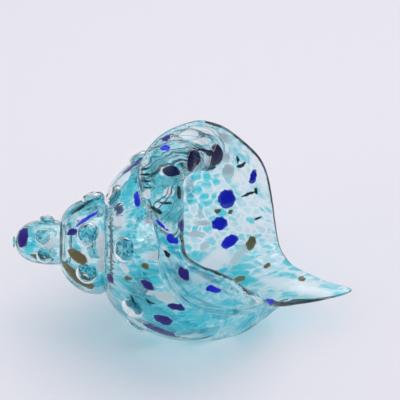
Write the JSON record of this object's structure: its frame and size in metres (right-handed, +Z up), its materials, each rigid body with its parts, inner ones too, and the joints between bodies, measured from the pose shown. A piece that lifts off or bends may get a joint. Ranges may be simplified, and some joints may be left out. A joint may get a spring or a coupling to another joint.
{
  "type": "conch shell figurine",
  "caption": "Hand-blown turquoise glass conch shell ornament: stepped spire with clear glass drops, flared mouth, rolled lip and a flat ground under the belly.",
  "frame": {"origin": "middle of the flat ground under the belly, on the surface that the shell rests on", "axes": "+X along the shell axis from spire to beak, +Z up, -Y towards the side with the near lip and the open mouth"},
  "size_m": [0.2438, 0.1534, 0.1601],
  "materials": {
    "turquoise_glass": "mottled turquoise and milky white, polished",
    "pale_milky_glass": "pale milky turquoise, polished",
    "clear_glass": "clear with a faint teal tint, polished",
    "spire_glass": "turquoise with deep blue and olive, polished",
    "scroll_glass": "turquoise, stretched streaks, polished"
  },
  "bodies": {
    "root": {"spire_tip": "spire_glass", "second_whorl": "turquoise_glass", "body_whorl": "turquoise_glass", "outer_lip": "pale_milky_glass", "near_lip": "pale_milky_glass", "near_lip_bead": "clear_glass", "siphon_beak": "pale_milky_glass", "scroll": "scroll_glass", "spire_end_drop": "clear_glass", "spire_drop_1": "clear_glass", "spire_drop_2": "clear_glass", "spire_drop_3": "clear_glass", "spire_drop_4": "clear_glass", "spire_drop_5": "clear_glass", "second_whorl_drop_1": "clear_glass", "second_whorl_drop_2": "clear_glass", "second_whorl_drop_3": "clear_glass", "second_whorl_drop_4": "clear_glass", "second_whorl_drop_5": "clear_glass", "second_whorl_drop_6": "clear_glass", "shoulder_drop_1": "clear_glass", "shoulder_drop_2": "clear_glass", "shoulder_drop_3": "clear_glass", "shoulder_drop_4": "clear_glass", "shoulder_drop_5": "clear_glass", "shoulder_drop_6": "clear_glass", "shoulder_drop_7": "clear_glass", "shoulder_drop_8": "clear_glass"}
  },
  "joints": []
}
